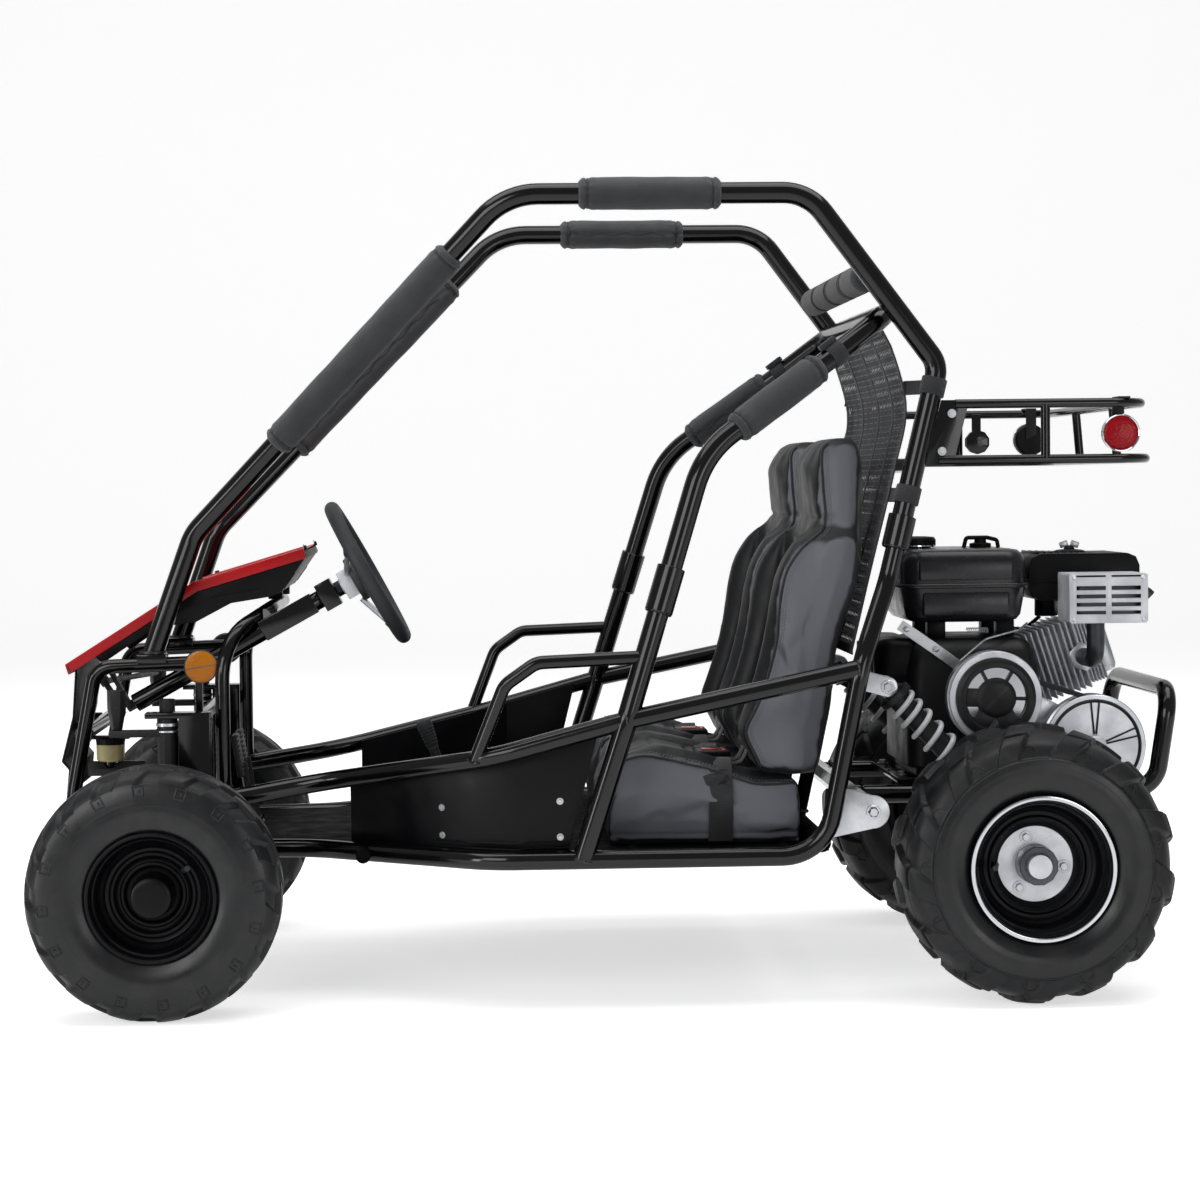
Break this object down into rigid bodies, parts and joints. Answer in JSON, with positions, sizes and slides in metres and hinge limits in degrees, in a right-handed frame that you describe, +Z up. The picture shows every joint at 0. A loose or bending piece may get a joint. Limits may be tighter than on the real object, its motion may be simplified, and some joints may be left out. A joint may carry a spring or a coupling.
{
  "type": "off road go kart",
  "caption": "Two-seat off road go kart: tube frame with a full roll cage, padded bucket seats, steered front wheels and a belt-driven rear axle in a sprung swing frame.",
  "frame": {"origin": "on the ground under the middle of the overall length and width", "axes": "+X points to the rear, +Y to the passenger's side, +Z up; the kart drives towards -X"},
  "size_m": [1.7482, 1.04, 1.2219],
  "materials": {
    "gloss_black_paint": "gloss",
    "pad_fabric": "matt",
    "black_plastic": "satin",
    "red_plastic": "gloss",
    "satin_black_paint": "satin",
    "black_rubber_grip": "matt",
    "red_lens": "gloss",
    "black_webbing": "matt",
    "reservoir_plastic": "satin",
    "seat_vinyl": "satin",
    "rim_paint": "gloss",
    "tyre_rubber": "matt",
    "belt_rubber": "matt",
    "zinc_steel": "satin",
    "spring_paint": "gloss",
    "cast_alloy": "satin",
    "pulley_steel": "satin",
    "tank_plastic": "matt",
    "muffler_steel": "satin"
  },
  "bodies": {
    "chassis": {"side_frame_left": "gloss_black_paint", "side_frame_right": "gloss_black_paint", "front_frame": "gloss_black_paint", "floor_frame": "satin_black_paint", "roll_cage": "gloss_black_paint", "seat_hoop": "gloss_black_paint", "pillar_pad_left": "pad_fabric", "pillar_pad_right": "pad_fabric", "roof_pad_left": "pad_fabric", "roof_pad_right": "pad_fabric", "hoop_pad_left": "pad_fabric", "hoop_pad_right": "pad_fabric", "side_panel_left": "black_plastic", "side_panel_right": "black_plastic", "front_cowl": "black_plastic", "hood_cover": "red_plastic", "rear_rack": "satin_black_paint", "tail_reflector_left": "red_lens", "tail_reflector_right": "red_lens", "seat_cushion_left": "seat_vinyl", "seat_cushion_right": "seat_vinyl", "seat_back_left": "seat_vinyl", "seat_back_right": "seat_vinyl", "harness_left": "black_webbing", "harness_right": "black_webbing", "back_net": "black_webbing", "brake_master": "reservoir_plastic"},
    "steering": {"steering_shaft": "zinc_steel", "steering_wheel": "black_rubber_grip"},
    "swing": {"swing_frame": "satin_black_paint", "engine_block": "cast_alloy", "fuel_tank": "tank_plastic", "air_cleaner": "tank_plastic", "muffler": "muffler_steel", "drive_belt": "belt_rubber", "chain": "zinc_steel"},
    "rear_axle": {"rear_axle": "zinc_steel", "rear_rim_left": "rim_paint", "rear_rim_right": "rim_paint", "rear_tyre_left": "tyre_rubber", "rear_tyre_right": "tyre_rubber"},
    "drive_pulley": {"drive_pulley": "pulley_steel"},
    "driven_pulley": {"driven_pulley": "cast_alloy"},
    "brake_pedal": {"brake_pedal": "satin_black_paint"},
    "throttle_pedal": {"throttle_pedal": "satin_black_paint"},
    "hand_lever": {"hand_lever": "black_rubber_grip"},
    "knuckle_left": {"knuckle_left": "satin_black_paint"},
    "tie_rod_left": {"tie_rod_left": "zinc_steel"},
    "front_wheel_left": {"front_rim_left": "rim_paint", "front_tyre_left": "tyre_rubber"},
    "shock_body_left": {"shock_body_left": "satin_black_paint", "shock_spring_left": "spring_paint"},
    "shock_rod_left": {"shock_rod_left": "zinc_steel"},
    "knuckle_right": {"knuckle_right": "satin_black_paint"},
    "tie_rod_right": {"tie_rod_right": "zinc_steel"},
    "front_wheel_right": {"front_rim_right": "rim_paint", "front_tyre_right": "tyre_rubber"},
    "shock_body_right": {"shock_body_right": "satin_black_paint", "shock_spring_right": "spring_paint"},
    "shock_rod_right": {"shock_rod_right": "zinc_steel"}
  },
  "joints": [
    {"name": "steering_turn", "type": "hinge", "parent": "chassis", "child": "steering", "pos_m": [-0.75197, -0.2, 0.435], "axis": [0.8771, 0, 0.4802], "range_deg": [-28, 28]},
    {"name": "knuckle_turn_left", "type": "hinge", "parent": "chassis", "child": "knuckle_left", "pos_m": [-0.67997, -0.32, 0.1837], "axis": [0, 0, 1], "range_deg": [-19.2, 19.2]},
    {"name": "tie_rod_swing_left", "type": "hinge", "parent": "knuckle_left", "child": "tie_rod_left", "pos_m": [-0.75497, -0.32, 0.457], "axis": [0, 0, 1], "range_deg": [-19.2, 19.2]},
    {"name": "front_wheel_spin_left", "type": "hinge", "parent": "knuckle_left", "child": "front_wheel_left", "pos_m": [-0.68997, -0.4475, 0.1837], "axis": [0, 1, 0], "continuous": true},
    {"name": "knuckle_turn_right", "type": "hinge", "parent": "chassis", "child": "knuckle_right", "pos_m": [-0.67997, 0.32, 0.1837], "axis": [0, 0, 1], "range_deg": [-19.2, 19.2]},
    {"name": "tie_rod_swing_right", "type": "hinge", "parent": "knuckle_right", "child": "tie_rod_right", "pos_m": [-0.75497, 0.32, 0.457], "axis": [0, 0, 1], "range_deg": [-19.2, 19.2]},
    {"name": "front_wheel_spin_right", "type": "hinge", "parent": "knuckle_right", "child": "front_wheel_right", "pos_m": [-0.68997, 0.4475, 0.1837], "axis": [0, 1, 0], "continuous": true},
    {"name": "brake_press", "type": "hinge", "parent": "chassis", "child": "brake_pedal", "pos_m": [-0.55997, -0.215, 0.25], "axis": [0, -1, 0], "range_deg": [0, 20], "stiffness_Nm_per_rad": 4, "springref_deg": -6.88},
    {"name": "throttle_press", "type": "hinge", "parent": "chassis", "child": "throttle_pedal", "pos_m": [-0.55997, -0.13, 0.25], "axis": [0, -1, 0], "range_deg": [0, 20], "stiffness_Nm_per_rad": 4, "springref_deg": -6.88},
    {"name": "hand_lever_swing", "type": "hinge", "parent": "chassis", "child": "hand_lever", "pos_m": [-0.24997, 0, 0.25], "axis": [0, 1, 0], "range_deg": [-12, 12]},
    {"name": "swing_travel", "type": "hinge", "parent": "chassis", "child": "swing", "pos_m": [0.36009, 0, 0.28393], "axis": [0, -1, 0], "range_deg": [0, 8], "stiffness_Nm_per_rad": 1500, "springref_deg": -11.46},
    {"name": "drive_pulley_spin", "type": "hinge", "parent": "swing", "child": "drive_pulley", "pos_m": [0.57403, -0.221, 0.436], "axis": [0, 1, 0], "continuous": true},
    {"name": "rear_axle_spin", "type": "hinge", "parent": "swing", "child": "rear_axle", "pos_m": [0.60003, 0, 0.203], "axis": [0, 1, 0], "continuous": true},
    {"name": "driven_pulley_spin", "type": "hinge", "parent": "swing", "child": "driven_pulley", "pos_m": [0.72703, -0.221, 0.36], "axis": [0, 1, 0], "continuous": true},
    {"name": "shock_tilt_left", "type": "hinge", "parent": "chassis", "child": "shock_body_left", "pos_m": [0.40403, -0.285, 0.457], "axis": [0, -1, 0], "range_deg": [0, 5]},
    {"name": "shock_stroke_left", "type": "slide", "parent": "shock_body_left", "child": "shock_rod_left", "axis": [-0.6806, 0, 0.7326], "range_m": [0, 0.0212], "deforming": ["shock_spring_left"]},
    {"name": "shock_tilt_right", "type": "hinge", "parent": "chassis", "child": "shock_body_right", "pos_m": [0.40403, 0.285, 0.457], "axis": [0, -1, 0], "range_deg": [0, 5]},
    {"name": "shock_stroke_right", "type": "slide", "parent": "shock_body_right", "child": "shock_rod_right", "axis": [-0.6806, 0, 0.7326], "range_m": [0, 0.0212], "deforming": ["shock_spring_right"]}
  ],
  "couplings": [
    {"joint": "knuckle_turn_left", "follows": "steering_turn", "ratio": 0.667},
    {"joint": "tie_rod_swing_left", "follows": "steering_turn", "ratio": -0.667},
    {"joint": "knuckle_turn_right", "follows": "steering_turn", "ratio": 0.667},
    {"joint": "tie_rod_swing_right", "follows": "steering_turn", "ratio": -0.667},
    {"joint": "driven_pulley_spin", "follows": "rear_axle_spin", "ratio": 2.3333},
    {"joint": "shock_tilt_left", "follows": "swing_travel", "ratio": 0.611},
    {"joint": "shock_stroke_left", "follows": "swing_travel", "m_per_rad": 0.15},
    {"joint": "shock_tilt_right", "follows": "swing_travel", "ratio": 0.611},
    {"joint": "shock_stroke_right", "follows": "swing_travel", "m_per_rad": 0.15}
  ]
}
